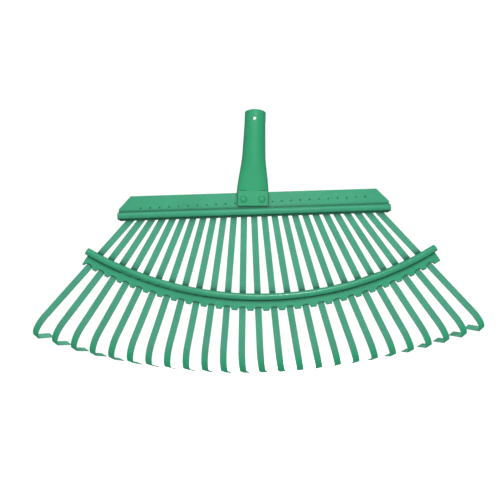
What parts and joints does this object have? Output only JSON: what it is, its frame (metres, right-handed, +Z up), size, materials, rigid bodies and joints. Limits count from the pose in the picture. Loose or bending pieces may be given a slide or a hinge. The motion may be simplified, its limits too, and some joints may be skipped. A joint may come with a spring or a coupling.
{
  "type": "rake head",
  "caption": "Fan-shaped steel lawn rake head: hooked strip tines clinched into a folded channel, a curved spacer brace, and a riveted rolled sheet socket for a handle.",
  "frame": {"origin": "centre of the open mouth of the handle socket", "axes": "+X along the head channel, to the right as seen from the bead side; +Z up the rake, away from the hooks; -Y towards the beads and rivet heads, so the hooks point to +Y"},
  "size_m": [0.6012, 0.077, 0.3609],
  "materials": {
    "green_coat_channel": "satin green powder coat on folded sheet steel",
    "green_coat_socket": "satin green powder coat on rolled sheet steel and steel rivets",
    "green_coat_tine": "satin green powder coat on spring steel strip"
  },
  "bodies": {
    "root": {"head_channel": "green_coat_channel", "spacer_brace": "green_coat_channel", "handle_socket": "green_coat_socket", "socket_rivets": "green_coat_socket", "tine_01": "green_coat_tine", "tine_02": "green_coat_tine", "tine_03": "green_coat_tine", "tine_04": "green_coat_tine", "tine_05": "green_coat_tine", "tine_06": "green_coat_tine", "tine_07": "green_coat_tine", "tine_08": "green_coat_tine", "tine_09": "green_coat_tine", "tine_10": "green_coat_tine", "tine_11": "green_coat_tine", "tine_12": "green_coat_tine", "tine_13": "green_coat_tine", "tine_14": "green_coat_tine", "tine_15": "green_coat_tine", "tine_16": "green_coat_tine", "tine_17": "green_coat_tine", "tine_18": "green_coat_tine", "tine_19": "green_coat_tine", "tine_20": "green_coat_tine", "tine_21": "green_coat_tine", "tine_22": "green_coat_tine", "tine_23": "green_coat_tine", "tine_24": "green_coat_tine", "tine_25": "green_coat_tine"}
  },
  "joints": []
}
